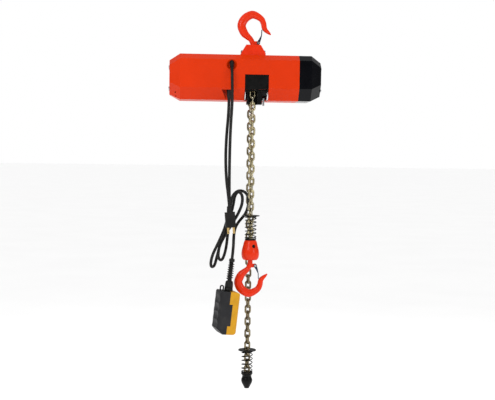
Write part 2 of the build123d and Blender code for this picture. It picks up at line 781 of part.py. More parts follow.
def hook_form(centre_z, up, shank_end):
    """Forged hook about a bowl centre. up is 1 with the shank above the bowl, -1 with it below."""
    points = hook_points()
    sections = []
    for index, (x, z, thickness, width) in enumerate(points):
        before = points[max(index - 1, 0)]
        after = points[min(index + 1, len(points) - 1)]
        tangent = Vector(after[0] - before[0], 0, up * (after[1] - before[1]))
        if index == 0:
            tangent = Vector(0, 0, -up)
        place = Plane(origin=(x, 0, centre_z + up * z), x_dir=(0, 1, 0), z_dir=tangent)
        with BuildSketch(place) as section:
            Ellipse(width / 2, thickness / 2)
        sections.append(section.sketch)
    loft(sections, ruled=True)
    neck_z = centre_z + up * neck_height
    disc_z(min(neck_z, shank_end), max(neck_z, shank_end), hook_shank_radius)
    pivot_x, pivot_z = latch_pivot
    with BuildSketch(Plane.XZ.offset(-lug_half)) as lug:
        with Locations((pivot_x, centre_z + up * pivot_z)):
            Circle(5.5)
        with BuildLine():
            Polyline(
                (2, centre_z + up * (pivot_z + 5)),
                (pivot_x, centre_z + up * (pivot_z + 5)),
                (pivot_x, centre_z + up * (pivot_z - 5)),
                (2, centre_z + up * (pivot_z - 5)),
                close=True,
            )
        make_face()
    extrude(lug.sketch, amount=2 * lug_half)
    with BuildSketch(Plane.XZ.offset(-20)) as bore:
        with Locations((pivot_x, centre_z + up * pivot_z)):
            Circle(latch_pin_radius)
    extrude(bore.sketch, amount=40, mode=Mode.SUBTRACT)


def latch_form(centre_z, up):
    """Sheet latch: two cheeks on the pin and a tongue that closes the hook's mouth from inside."""
    pivot_x, pivot_z = latch_pivot
    cheek_inner = lug_half + 0.5
    cheek_outer = cheek_inner + latch_sheet
    tongue = [
        (17.5, 42.5), (22.0, 37.0), (24.4, 25.0), (25.0, 9.8), (26.8, 9.8), (26.2, 25.3), (23.8, 38.0), (20.0, 44.0),
    ]
    cheek = [
        (10.8, 49.0), (13.0, 45.0), (20.0, 34.0), (24.4, 25.0), (26.2, 25.3), (23.8, 38.0), (20.3, 50.0),
    ]
    with BuildSketch(Plane.XZ.offset(-cheek_outer)) as tongue_face:
        with BuildLine():
            Polyline(*[(x, centre_z + up * z) for x, z in tongue], close=True)
        make_face()
    extrude(tongue_face.sketch, amount=2 * cheek_outer)
    for start in (-cheek_outer, cheek_inner):
        with BuildSketch(Plane.XZ.offset(start)) as cheek_face:
            with BuildLine():
                Polyline(*[(x, centre_z + up * z) for x, z in cheek], close=True)
            make_face()
            with Locations((pivot_x, centre_z + up * pivot_z)):
                Circle(5)
        extrude(cheek_face.sketch, amount=latch_sheet)
    with BuildSketch(Plane.XZ.offset(-20)) as bore:
        with Locations((pivot_x, centre_z + up * pivot_z)):
            Circle(latch_pin_radius + latch_pin_play)
    extrude(bore.sketch, amount=40, mode=Mode.SUBTRACT)


def latch_pin_form(centre_z, up):
    """Rivet through the hook's lug and the latch's cheeks, with a head at each end."""
    pivot_x, pivot_z = latch_pivot
    half = lug_half + 0.5 + latch_sheet + 0.4
    with BuildSketch(Plane.XZ.offset(-half - 1.2)) as shank:
        with Locations((pivot_x, centre_z + up * pivot_z)):
            Circle(latch_pin_radius)
    extrude(shank.sketch, amount=2 * half + 2.4)
    for start in (-half - 1.2, half):
        with BuildSketch(Plane.XZ.offset(start)) as head:
            with Locations((pivot_x, centre_z + up * pivot_z)):
                Circle(3.4)
        extrude(head.sketch, amount=1.2)


top_shank_end = body_top + 4.0
nut_top = bracket_top - roof - 0.5

with BuildPart() as top_hook:
    hook_form(0, -1, top_shank_end)
save(top_hook, "top_hook")

with BuildPart() as top_latch:
    latch_form(0, -1)
save(top_latch, "top_latch")

with BuildPart() as top_latch_pin:
    latch_pin_form(0, -1)
save(top_latch_pin, "top_latch_pin")

with BuildPart() as top_hook_nut:
    with BuildSketch(Plane.XY.offset(nut_top)):
        RegularPolygon(13, 6)
        Circle(hook_shank_radius, mode=Mode.SUBTRACT)
    extrude(amount=-11)
save(top_hook_nut, "top_hook_nut")

block_floor = block_bottom + 7.0
thrust_height = 5.0
hook_nut_low = block_floor + thrust_height + 0.4
hook_nut_height = 9.0
load_shank_end = hook_nut_low + hook_nut_height + 1.5

with BuildPart() as load_hook:
    hook_form(-hook_drop, 1, load_shank_end)
save(load_hook, "load_hook")

with BuildPart() as load_latch:
    latch_form(-hook_drop, 1)
save(load_latch, "load_latch")

with BuildPart() as load_latch_pin:
    latch_pin_form(-hook_drop, 1)
save(load_latch_pin, "load_latch_pin")

with BuildPart() as load_hook_nut:
    with BuildSketch(Plane.XY.offset(hook_nut_low)):
        RegularPolygon(13, 6)
        Circle(hook_shank_radius, mode=Mode.SUBTRACT)
    extrude(amount=hook_nut_height)
save(load_hook_nut, "load_hook_nut")

with BuildPart() as thrust_bearing:
    disc_z(block_floor, block_floor + thrust_height, 14, hole=hook_shank_radius + 0.5)
save(thrust_bearing, "thrust_bearing")

# ---------------------------------------------------------------- hook block
pin_way = (sin(radians(block_turn)), -cos(radians(block_turn)), 0)
parting = Plane(origin=(0, 0, 0), z_dir=pin_way)


def rod_along_pin(start, end, radius, mode=Mode.ADD):
    """Rod on the line of the block's pin, between two distances from the chain."""
    origin = (pin_way[0] * start, pin_way[1] * start, block_pin_z)
    with BuildSketch(Plane(origin=origin, x_dir=(0, 0, 1), z_dir=pin_way)) as circle:
        Circle(radius)
    extrude(circle.sketch, amount=end - start, mode=mode)


def block_half(keep):
    """One half of the bell-shaped block, split square to its pin."""
    with BuildSketch(Plane.XZ) as profile:
        with BuildLine():
            Polyline((0, block_top), (16.5, block_top))
            Spline(
                (16.5, block_top),
                (22.5, block_top - 17),
                (block_radius, block_top - 38),
                (21.0, block_bottom),
                tangents=[(0.5, -0.6), (-0.8, -0.45)],
            )
            Polyline((21.0, block_bottom), (0, block_bottom), (0, block_top))
        make_face()
    revolve(profile.sketch, axis=Axis.Z)
    chain_floor = block_pin_z - block_pin_radius - chain_wire - link_play - 3
    disc_z(chain_floor, block_top, chain_width / 2 + 1.2, mode=Mode.SUBTRACT)
    disc_z(block_floor, load_shank_end + 1, 16, mode=Mode.SUBTRACT)
    disc_z(block_bottom, block_floor, hook_shank_radius + shank_play, mode=Mode.SUBTRACT)
    rod_along_pin(-17, 43, block_pin_radius, mode=Mode.SUBTRACT)
    rod_along_pin(17.5, 37.5, 5.6, mode=Mode.SUBTRACT)
    split(bisect_by=parting, keep=keep)


with BuildPart() as hook_block_front:
    block_half(Keep.TOP)
save(hook_block_front, "hook_block_front")

with BuildPart() as hook_block_rear:
    block_half(Keep.BOTTOM)
save(hook_block_rear, "hook_block_rear")

with BuildPart() as block_pin:
    rod_along_pin(-17, 17.5, block_pin_radius)
    rod_along_pin(17.5, 19.5, 5.2)
save(block_pin, "block_pin")


# ---------------------------------------------------------------- springs and stops
def spring_form(low, high, turns, radius, y):
    """Open coil spring between two heights, with the wire's ends kept inside them."""
    height = high - low - 2 * spring_wire
    base = low + spring_wire
    with BuildLine(Plane((0, y, base))) as coil:
        Helix(pitch=height / turns, height=height, radius=radius)
    with BuildSketch(Plane(origin=coil.line @ 0, z_dir=coil.line % 0)) as section:
        Circle(spring_wire)
    sweep(section.sketch, path=coil.line, is_frenet=True)


seat_height = 4.0
stop_plate_thickness = 2.4

with BuildPart() as spring_seat:
    disc_z(block_top, block_top + seat_height, stop_spring_radius + 0.5, hole=chain_width / 2 + 1.2)
save(spring_seat, "spring_seat")

with BuildPart() as stop_spring:
    spring_low = block_top + seat_height + 0.4
    spring_high = stop_plate_top - stop_plate_thickness - 0.5
    spring_form(spring_low, spring_high, stop_spring_turns, stop_spring_radius, 0)
save(stop_spring, "stop_spring")

with BuildPart() as stop_plate:
    hole = chain_width / 2 + 1
    disc_z(stop_plate_top - stop_plate_thickness, stop_plate_top, stop_plate_radius, hole=hole)
save(stop_plate, "stop_plate")

with BuildPart() as tail_disc:
    hole = chain_width / 2 + 1
    low = tail_disc_top - stop_plate_thickness
    disc_z(low, tail_disc_top, tail_disc_radius, hole=hole, y=tail_y)
save(tail_disc, "tail_disc")

with BuildPart() as tail_spring:
    spring_high = tail_disc_top - stop_plate_thickness - 0.5
    spring_form(weight_top + 0.4, spring_high, tail_spring_turns, tail_spring_radius, tail_y)
save(tail_spring, "tail_spring")

with BuildPart() as tail_weight:
    with BuildSketch(Plane.XZ.offset(-tail_y)):
        with BuildLine():
            Polyline((0, weight_top), (weight_radius, weight_top), (weight_radius, weight_top - 5))
            Spline(
                (weight_radius, weight_top - 5),
                (weight_radius - 3.5, weight_top - 11),
                (weight_radius - 0.5, weight_top - 22),
                (weight_radius - 7, weight_top - 42),
                (7.5, weight_top - weight_height),
            )
            Polyline((7.5, weight_top - weight_height), (0, weight_top - weight_height), (0, weight_top))
        make_face()
    revolve(axis=Axis((0, tail_y, 0), (0, 0, 1)))
    slot_floor = tail_pin_z - tail_pin_radius - chain_wire - 2
    disc_z(slot_floor, weight_top, chain_width / 2 + 1, y=tail_y, mode=Mode.SUBTRACT)
    disc_x(-30, 30, tail_pin_radius, y=tail_y, z=tail_pin_z, mode=Mode.SUBTRACT)
    disc_x(-13.5, 13.5, tail_pin_radius - 0.05, y=tail_y, z=tail_pin_z)
save(tail_weight, "tail_weight")

# ---------------------------------------------------------------- glands, cords and plug
with BuildPart() as cord_glands:
    start = pendant_cord_route[0]
    with BuildSketch(Plane(origin=start, z_dir=gland_axis)):
        Circle(cord_radius + 0.8)
    with BuildSketch(Plane(origin=start, z_dir=gland_axis).offset(10)):
        Circle(gland_radius)
    loft()
    with BuildSketch(Plane(origin=start, z_dir=gland_axis).offset(10)):
        Circle(gland_radius)
    extrude(amount=16)
    start = power_cord_route[0]
    with BuildSketch(Plane(origin=start, z_dir=(0, 0, 1))):
        Circle(cord_radius + 0.8)
    with BuildSketch(Plane(origin=start, z_dir=(0, 0, 1)).offset(12)):
        Circle(gland_radius)
    loft()
    with BuildSketch(Plane(origin=start, z_dir=(0, 0, 1)).offset(12)):
        Circle(gland_radius)
    extrude(amount=pocket_z + body_wall + 4 - (start[2] + 12))
save(cord_glands, "cord_glands")

with BuildPart() as pendant_cord:
    expected = cord_tube(pendant_cord_route)
print("pendant cord volume share", round(pendant_cord.part.volume / expected, 4))
save(pendant_cord, "pendant_cord")

with BuildPart() as power_cord:
    expected = cord_tube(power_cord_route)
print("power cord volume share", round(power_cord.part.volume / expected, 4))
save(power_cord, "power_cord")

plug_way = direction(power_cord_route[-2], power_cord_route[-1])
plug_plane = Plane(origin=power_cord_route[-1], x_dir=(-plug_way.Z, 0, plug_way.X), z_dir=plug_way)
relief_length = 18.0

with BuildPart() as power_plug:
    with BuildSketch(plug_plane):
        Circle(cord_radius + 2.5)
    with BuildSketch(plug_plane.offset(relief_length)):
        Circle(9)
    loft()
    with BuildSketch(plug_plane.offset(relief_length)):
        RectangleRounded(plug_size[0], plug_size[1], 5)
    extrude(amount=plug_size[2])
save(power_plug, "power_plug")

with BuildPart() as plug_blades:
    with BuildSketch(plug_plane.offset(relief_length + plug_size[2])):
        with Locations((-8.3, 0), (8.3, 0)):
            Rectangle(blade_size[0], blade_size[1])
    extrude(amount=blade_size[2])
    with BuildSketch(plug_plane.offset(relief_length + plug_size[2] + blade_size[2] - 5)):
        with Locations((-8.3, 0), (8.3, 0)):
            Rectangle(3, blade_size[1] + 1)
    extrude(amount=2, mode=Mode.SUBTRACT)
save(plug_blades, "plug_blades")

# ---------------------------------------------------------------- pendant
tilt, turn = radians(pendant_tilt), radians(pendant_turn)
pendant_up = Vector(sin(tilt), 0, cos(tilt))
pendant_side = Vector(sin(turn), -cos(turn), 0)
pendant_side = (pendant_side - pendant_up * pendant_side.dot(pendant_up)).normalized()
pendant_ahead = pendant_up.cross(pendant_side)
top_plane = Plane(origin=pendant_top, x_dir=pendant_ahead, z_dir=pendant_up)
side_plane = Plane(origin=pendant_top, x_dir=pendant_ahead, z_dir=pendant_side)
front_plane = Plane(origin=pendant_top, x_dir=pendant_up, z_dir=pendant_ahead)
half_depth, half_width = pendant_depth / 2, pendant_width / 2
part_line, step_line = 0.0, 10.0
step_top, step_low = -38.0, -104.0
hollow_top, hollow_low = -6.5, -pendant_height + 19.5
grip_count, grip_pitch, grip_start = 4, 25.0, -12.0


def rear_outline():
    """Dark rear half: grip scallops on its back, a step forward where the palm closes round it."""
    back = -half_depth
    Polyline((part_line, 0), (back + 5, 0), (back, -5), (back, grip_start))
    for grip in range(grip_count):
        low = grip_start - grip * grip_pitch
        ThreePointArc((back, low), (back + 1.8, low - grip_pitch / 2), (back, low - grip_pitch))
    foot = -pendant_height
    Polyline(
        (back, grip_start - grip_count * grip_pitch),
        (back + 20, foot),
        (part_line, foot),
        (part_line, step_low),
        (step_line, step_low),
        (step_line, step_top),
        (part_line, step_top),
        (part_line, 0),
    )


def front_outline():
    """Yellow front half with its rounded nose, which carries the buttons."""
    foot = -pendant_height
    Polyline((part_line, 0), (half_depth - 14, 0))
    ThreePointArc((half_depth - 14, 0), (half_depth - 4.1, -4.1), (half_depth, -14))
    Polyline((half_depth, -14), (half_depth, foot + 14))
    ThreePointArc((half_depth, foot + 14), (half_depth - 4.1, foot + 4.1), (half_depth - 14, foot))
    Polyline(
        (half_depth - 14, foot),
        (part_line, foot),
        (part_line, step_low),
        (step_line, step_low),
        (step_line, step_top),
        (part_line, step_top),
        (part_line, 0),
    )


def pendant_half(outline, centre_ahead):
    """Half shell from its side outline, hollowed, its outer long edges rounded about centre_ahead."""
    with BuildSketch(side_plane.offset(-half_width)) as profile:
        with BuildLine():
            outline()
        make_face()
    extrude(profile.sketch, amount=pendant_width)
    with BuildSketch(side_plane.offset(-half_width + pendant_wall)) as hollow:
        with Locations((0, hollow_top / 2 + hollow_low / 2)):
            Rectangle(pendant_depth - 2 * pendant_wall - 5, hollow_top - hollow_low)
    extrude(hollow.sketch, amount=pendant_width - 2 * pendant_wall, mode=Mode.SUBTRACT)
    with BuildSketch(top_plane.offset(-pendant_height - 1)) as corners:
        Rectangle(pendant_depth + 2, pendant_width + 2)
        with Locations((centre_ahead, 0)):
            RectangleRounded(pendant_depth + 18, pendant_width, 9, mode=Mode.SUBTRACT)
    extrude(corners.sketch, amount=pendant_height + 2, mode=Mode.SUBTRACT)


with BuildPart() as pendant_rear_shell:
    pendant_half(rear_outline, centre_ahead=9)
save(pendant_rear_shell, "pendant_rear_shell")

with BuildPart() as pendant_front_shell:
    pendant_half(front_outline, centre_ahead=-9)
    with BuildSketch(front_plane):
        with Locations(*[(-drop, 0) for drop in button_drops]):
            Circle(button_radius + button_play)
    extrude(amount=half_depth + 5, mode=Mode.SUBTRACT)
save(pendant_front_shell, "pendant_front_shell")

inner_front = half_depth - pendant_wall - 2.5


def button_form(drop):
    """Push button with a retaining flange behind the shell."""
    with BuildSketch(front_plane.offset(inner_front - 4)) as stem:
        with Locations((-drop, 0)):
            Circle(button_radius)
    extrude(stem.sketch, amount=half_depth + 4 - (inner_front - 4))
    with BuildSketch(front_plane.offset(inner_front - 3)) as flange:
        with Locations((-drop, 0)):
            Circle(button_radius + 2)
    extrude(flange.sketch, amount=2.6)


with BuildPart() as up_button:
    button_form(button_drops[0])
save(up_button, "up_button")

with BuildPart() as down_button:
    button_form(button_drops[1])
save(down_button, "down_button")

with BuildPart() as pendant_switch:
    with BuildSketch(side_plane.offset(-15)):
        with Locations((4, -42)):
            Rectangle(26, 44)
    extrude(amount=30)
save(pendant_switch, "pendant_switch")

with BuildPart() as pendant_eyelet:
    with BuildSketch(side_plane.offset(-2)):
        with Locations((-22, 7)):
            SlotOverall(20, 13, rotation=90)
            SlotOverall(13, 6.5, rotation=90, mode=Mode.SUBTRACT)
        with Locations((-22, -6.5)):
            Rectangle(20, 13, mode=Mode.SUBTRACT)
    extrude(amount=4)
save(pendant_eyelet, "pendant_eyelet")

relief_base = 31.0
relief_top = (Vector(*pendant_cord_route[-1]) - Vector(*pendant_top)).length
rib_count = 8
rib_pitch = 6.4

with BuildPart() as pendant_strain_relief:
    with BuildSketch(top_plane):
        RegularPolygon(13.5, 10)
    with BuildSketch(top_plane.offset(relief_base)):
        RegularPolygon(11.5, 10)
    loft()
    with BuildSketch(top_plane.offset(relief_base)):
        Circle(6.5)
    extrude(amount=relief_top - relief_base)
    for rib in range(rib_count):
        with BuildSketch(top_plane.offset(relief_base + 3 + rib * rib_pitch)):
            Circle(10.5 - 0.15 * rib)
        extrude(amount=3.4)
    with BuildSketch(top_plane.offset(relief_top - 13)):
        Circle(9)
    extrude(amount=13)
save(pendant_strain_relief, "pendant_strain_relief")
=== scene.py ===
"""Looks of the electric chain hoist: forged hooks, cords, fittings, finishes, light and camera."""

import json
from math import cos, pi, radians, sin

import bmesh
import bpy
from mathutils import Matrix, Vector


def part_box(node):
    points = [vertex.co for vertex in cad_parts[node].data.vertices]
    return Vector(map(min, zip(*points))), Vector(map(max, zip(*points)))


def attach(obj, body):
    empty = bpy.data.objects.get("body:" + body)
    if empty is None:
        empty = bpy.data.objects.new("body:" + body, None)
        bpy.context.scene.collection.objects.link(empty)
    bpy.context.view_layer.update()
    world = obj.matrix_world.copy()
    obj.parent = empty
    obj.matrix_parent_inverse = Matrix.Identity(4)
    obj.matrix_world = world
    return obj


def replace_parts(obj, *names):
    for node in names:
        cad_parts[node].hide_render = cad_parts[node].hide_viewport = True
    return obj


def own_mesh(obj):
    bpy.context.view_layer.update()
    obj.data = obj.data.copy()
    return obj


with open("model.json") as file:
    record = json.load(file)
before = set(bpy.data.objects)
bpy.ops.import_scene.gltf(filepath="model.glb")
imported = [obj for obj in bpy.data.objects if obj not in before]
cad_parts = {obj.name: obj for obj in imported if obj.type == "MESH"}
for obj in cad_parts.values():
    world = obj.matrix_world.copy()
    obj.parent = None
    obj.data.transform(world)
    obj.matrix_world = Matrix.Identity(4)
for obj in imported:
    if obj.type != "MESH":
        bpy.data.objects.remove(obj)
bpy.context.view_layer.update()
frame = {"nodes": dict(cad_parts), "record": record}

MM = 0.001
nodes_of = frame["nodes"]

# ---------------------------------------------------------------- places shared with the CAD
hook_drop = 777 * MM
top_shank = 84 * MM
load_shank = 90.9 * MM
shank_radius = 8 * MM
latch_pivot = (15.5 * MM, 50 * MM)
lug_half, lug_radius = 5 * MM, 5.5 * MM
cord_radius = 4.5 * MM
pendant_top = Vector((-67, -24, -802)) * MM
pendant_tilt, pendant_turn = radians(6), radians(18)
window_left, window_right = -26 * MM, 46 * MM

# The hook's centre line: angle, radius, thickness and width round the bowl, then x, z, thickness and width.
bowl_stations = [
    (100, 40.4, 16.7, 17.0), (120, 35.0, 20.7, 18.5), (145, 34.0, 25.5, 20.0), (180, 35.6, 26.8, 21.0),
    (210, 34.7, 27.2, 21.0), (240, 34.4, 26.4, 21.0), (270, 35.2, 24.9, 20.0), (312, 32.8, 19.8, 18.0),
    (340, 32.2, 17.9, 16.5),
]
nose_stations = [
    (33.4, 4.0, 16.6, 15.5), (38.6, 11.6, 13.8, 13.5), (45.9, 17.8, 10.0, 10.5), (52.2, 23.4, 4.6, 5.2),
]

pendant_cord_route = [
    (-66, -47, -128), (-66, -59, -144), (-65, -61, -178), (-64, -59, -232), (-68, -50, -308),
    (-69, -37, -398), (-68, -24, -488), (-66, -12, -552), (-77, -10, -608), (-98, -13, -656),
    (-118, -14, -697), (-122, -4, -731), (-109, 16, -734), (-101, 19, -702), (-91, 14, -660),
    (-75, 10, -616), (-61, 8, -574), (-53, 6, -540), (-50, 0, -514), (-40, -11, -499),
    (-28, -20, -509), (-27, -21, -535), (-38, -16, -565), (-56, -4, -598), (-78, 0, -634),
    (-96, 1, -670), (-99, 2, -706), (-85, 20, -716), (-74, 23, -684), (-69, 21, -640),
    (-67, 20, -592), (-64, 20, -548), (-55, 23, -511), (-33, 30, -496), (-9, 37, -507),
    (-3, 40, -537), (-12, 37, -570), (-34, 26, -593), (-47, 10, -612), (-52, -10, -636),
    (-53.1, -24, -669.7), (-56.65, -24, -703.54),
]
power_cord_route = [
    (-72.5, -27, -222), (-72.5, -27, -240), (-74, -29, -275), (-79, -32, -335), (-81, -36, -400),
    (-78, -38, -465), (-70.5, -36, -515.1), (-68, -36, -544),
]


# ---------------------------------------------------------------- materials
class Finish:
    """Node tree of one procedural material, built from the object's own coordinates in metres."""

    def __init__(self, name, colour, rough, metallic=0.0, coat=0.0, coat_rough=0.08, specular=0.5):
        self.material = bpy.data.materials.new(name)
        self.material.use_nodes = True
        self.tree = self.material.node_tree
        self.shader = self.tree.nodes["Principled BSDF"]
        self.shader.inputs["Metallic"].default_value = metallic
        self.shader.inputs["Coat Weight"].default_value = coat
        self.shader.inputs["Coat Roughness"].default_value = coat_rough
        self.shader.inputs["Specular IOR Level"].default_value = specular
        self.coordinates = self.node("ShaderNodeTexCoord").outputs["Object"]
        self.colour = None
        self.base = colour
        self.rough = rough
        self.heights = []

    def node(self, kind, **settings):
        made = self.tree.nodes.new(kind)
        for name, value in settings.items():
            setattr(made, name, value)
        return made

    def link(self, start, end):
        self.tree.links.new(start, end)

    def noise(self, scale, detail, stretch=(1, 1, 1), distortion=0.0):
        """Noise value with features about 1 / scale metres apart, drawn out by stretch."""
        texture = self.node("ShaderNodeTexNoise")
        texture.inputs["Scale"].default_value = scale
        texture.inputs["Detail"].default_value = detail
        texture.inputs["Distortion"].default_value = distortion
        mapping = self.node("ShaderNodeMapping")
        mapping.inputs["Scale"].default_value = stretch
        self.link(self.coordinates, mapping.inputs["Vector"])
        self.link(mapping.outputs["Vector"], texture.inputs["Vector"])
        return texture.outputs["Fac"]

    def span(self, value, low, high, to_low=0.0, to_high=1.0):
        """Map a value's range onto another, clamped."""
        ranged = self.node("ShaderNodeMapRange")
        self.link(value, ranged.inputs["Value"])
        for socket, number in zip(("From Min", "From Max", "To Min", "To Max"), (low, high, to_low, to_high)):
            ranged.inputs[socket].default_value = number
        return ranged.outputs["Result"]

    def times(self, first, second):
        product = self.node("ShaderNodeMath", operation="MULTIPLY")
        self.link(first, product.inputs[0])
        self.link(second, product.inputs[1])
        return product.outputs["Value"]

    def mix(self, mask, first, second):
        """Colour mix. Either side may be a colour or the output of another mix."""
        mixed = self.node("ShaderNodeMix", data_type="RGBA")
        self.link(mask, mixed.inputs["Factor"])
        for socket, side in ((mixed.inputs[6], first), (mixed.inputs[7], second)):
            if isinstance(side, tuple):
                socket.default_value = (*side, 1)
            else:
                self.link(side, socket)
        return mixed.outputs[2]

    def vary(self, amount, scale):
        """Lighter and darker patches of the base colour."""
        patches = self.span(self.noise(scale, 4.0), 0.3, 0.7)
        dark = tuple(channel * (1 - amount) for channel in self.base)
        light = tuple(min(channel * (1 + amount), 1.0) for channel in self.base)
        self.colour = self.mix(patches, dark, light)
        return self

    def smudge(self, colour, scale, low, high, strength=1.0):
        """Stains of another colour where a coarse noise is above low."""
        mask = self.span(self.noise(scale, 6.0, distortion=0.4), low, high, 0.0, strength)
        self.colour = self.mix(mask, self.colour or self.base, colour)
        return self

    def worn_edges(self, colour, radius=1.2 * MM, strength=0.8):
        """Another colour along sharp edges, broken up by noise."""
        rounded = self.node("ShaderNodeBevel", samples=4)
        rounded.inputs["Radius"].default_value = radius
        geometry = self.node("ShaderNodeNewGeometry")
        likeness = self.node("ShaderNodeVectorMath", operation="DOT_PRODUCT")
        self.link(rounded.outputs["Normal"], likeness.inputs[0])
        self.link(geometry.outputs["Normal"], likeness.inputs[1])
        edge = self.span(likeness.outputs["Value"], 0.80, 0.97, 1.0, 0.0)
        broken = self.span(self.noise(160, 5.0), 0.50, 0.62, 0.0, strength)
        self.colour = self.mix(self.times(edge, broken), self.colour or self.base, colour)
        return self

    def grain(self, scale, height, stretch=(1, 1, 1)):
        """Bump of the given height in metres."""
        self.heights.append((self.noise(scale, 2.0, stretch), height))
        return self

    def scratches(self, scale, stretch):
        """Fine grooves in one direction."""
        lines = self.span(self.noise(scale, 2.0, stretch), 0.66, 0.72)
        self.heights.append((lines, -0.02 * MM))
        return self

    def done(self, rough_vary=0.06, rough_scale=35):
        """Join colour, roughness and bump to the shader."""
        low, high = self.rough - rough_vary, self.rough + rough_vary
        spread = self.span(self.noise(rough_scale, 4.0), 0.3, 0.7, low, high)
        self.link(spread, self.shader.inputs["Roughness"])
        if self.colour:
            self.link(self.colour, self.shader.inputs["Base Color"])
        else:
            self.shader.inputs["Base Color"].default_value = (*self.base, 1)
        normal = None
        for value, height in self.heights:
            bump = self.node("ShaderNodeBump", invert=height < 0)
            bump.inputs["Strength"].default_value = 1.0
            bump.inputs["Distance"].default_value = abs(height)
            self.link(value, bump.inputs["Height"])
            if normal:
                self.link(normal, bump.inputs["Normal"])
            normal = bump.outputs["Normal"]
        if normal:
            self.link(normal, self.shader.inputs["Normal"])
        return self.material


PRIMER = (0.16, 0.05, 0.02)
BARE = (0.42, 0.41, 0.40)

finishes = {
    "housing_paint": Finish("housing_paint", (0.60, 0.029, 0.0004), 0.34, coat=0.05,
        coat_rough=0.12, specular=0.10)
    .vary(0.05, 9).smudge((0.55, 0.022, 0.001), 6, 0.60, 0.85, 0.30).worn_edges(PRIMER, 0.9 * MM, 0.35)
    .grain(900, 0.05 * MM).done(0.05, 25),
    "hook_paint": Finish("hook_paint", (0.66, 0.024, 0.0008), 0.26, coat=0.16, coat_rough=0.10,
        specular=0.16)
    .vary(0.08, 30).smudge((0.50, 0.020, 0.004), 25, 0.58, 0.80, 0.45).worn_edges(BARE, 0.8 * MM, 0.45)
    .grain(260, 0.14 * MM).done(0.07, 60),
    "black_paint": Finish("black_paint", (0.0016, 0.0018, 0.003), 0.16, coat=0.06,
        coat_rough=0.05, specular=0.14)
    .vary(0.30, 12).worn_edges((0.10, 0.10, 0.11), 0.8 * MM, 0.5).grain(900, 0.04 * MM).done(0.06, 30),
    "black_steel": Finish("black_steel", (0.004, 0.004, 0.004), 0.34, metallic=0.1, specular=0.14)
    .vary(0.35, 60).worn_edges((0.20, 0.18, 0.15), 0.7 * MM, 0.7).grain(500, 0.05 * MM).done(0.10, 80),
    "blued_steel": Finish("blued_steel", (0.022, 0.040, 0.080), 0.30, metallic=0.8)
    .vary(0.35, 70).smudge((0.10, 0.12, 0.15), 60, 0.52, 0.75, 0.6).worn_edges((0.45, 0.45, 0.45), 0.5 * MM)
    .grain(400, 0.03 * MM).done(0.08, 90),
    "plated_steel": Finish("plated_steel", (0.52, 0.52, 0.53), 0.27, metallic=1.0)
    .vary(0.15, 70).smudge((0.30, 0.28, 0.24), 90, 0.60, 0.80, 0.5).grain(700, 0.02 * MM, (6, 6, 1))
    .done(0.08, 120),
    "load_chain_steel": Finish("load_chain_steel", (0.50, 0.44, 0.27), 0.26, metallic=1.0)
    .vary(0.20, 55).smudge((0.20, 0.165, 0.09), 45, 0.48, 0.72, 0.8)
    .smudge((0.56, 0.57, 0.60), 32, 0.55, 0.80, 0.6)
    .grain(500, 0.05 * MM).done(0.09, 100),
    "slack_chain_steel": Finish("slack_chain_steel", (0.26, 0.215, 0.13), 0.30, metallic=1.0)
    .vary(0.28, 55).smudge((0.08, 0.065, 0.045), 45, 0.48, 0.72, 0.8)
    .smudge((0.45, 0.44, 0.40), 36, 0.60, 0.82, 0.5)
    .grain(500, 0.05 * MM).done(0.10, 100),
    "laminations": Finish("laminations", (0.30, 0.30, 0.31), 0.42, metallic=0.9)
    .vary(0.12, 60).grain(1800, 0.04 * MM, (1, 0.02, 0.02)).done(),
    "copper": Finish("copper", (0.62, 0.24, 0.09), 0.30, metallic=0.9)
    .vary(0.20, 90).grain(700, 0.20 * MM, (1, 0.2, 0.2)).done(),
    "brass": Finish("brass", (0.72, 0.50, 0.20), 0.22, metallic=1.0)
    .vary(0.12, 120).smudge((0.40, 0.26, 0.10), 150, 0.58, 0.78, 0.6).scratches(500, (1, 1, 0.05))
    .done(0.08, 150),
    "iron": Finish("iron", (0.20, 0.20, 0.21), 0.48, metallic=0.8)
    .vary(0.20, 60).worn_edges((0.50, 0.50, 0.50), 0.6 * MM).grain(400, 0.10 * MM).done(0.10, 80),
    "bright_alloy": Finish("bright_alloy", (0.70, 0.71, 0.72), 0.26, metallic=1.0)
    .vary(0.10, 40).smudge((0.38, 0.36, 0.33), 50, 0.60, 0.82, 0.5).scratches(300, (0.06, 1, 1))
    .done(0.08, 60),
    "black_rubber": Finish("black_rubber", (0.007, 0.0065, 0.006), 0.42, specular=0.25)
    .vary(0.30, 30).smudge((0.024, 0.021, 0.018), 22, 0.56, 0.80, 0.5).grain(1400, 0.03 * MM)
    .done(0.09, 45),
    "friction_lining": Finish("friction_lining", (0.11, 0.085, 0.06), 0.75)
    .vary(0.30, 200).grain(900, 0.15 * MM).done(),
    "black_plastic": Finish("black_plastic", (0.010, 0.010, 0.011), 0.48, specular=0.25)
    .vary(0.20, 50).grain(1600, 0.05 * MM).done(0.06, 70),
    "grey_plastic": Finish("grey_plastic", (0.013, 0.013, 0.015), 0.50, specular=0.25)
    .vary(0.20, 40).smudge((0.045, 0.042, 0.038), 28, 0.56, 0.80, 0.45).grain(1500, 0.07 * MM)
    .done(0.07, 60),
    "yellow_plastic": Finish("yellow_plastic", (0.56, 0.27, 0.004), 0.40, coat=0.05, specular=0.25)
    .vary(0.08, 35).smudge((0.40, 0.20, 0.02), 30, 0.60, 0.84, 0.45).grain(1300, 0.05 * MM).done(0.07, 50),
    "white_plastic": Finish("white_plastic", (0.66, 0.66, 0.62), 0.40)
    .vary(0.06, 60).smudge((0.40, 0.38, 0.33), 90, 0.60, 0.84, 0.5).done(0.06, 80),
}

for part in frame["record"]["subparts"]:
    for slot in nodes_of[part["node"]].material_slots:
        slot.material = finishes[part["material_slot"]]


# ---------------------------------------------------------------- smooth edges of the CAD pieces
sharp_angle = radians(32)


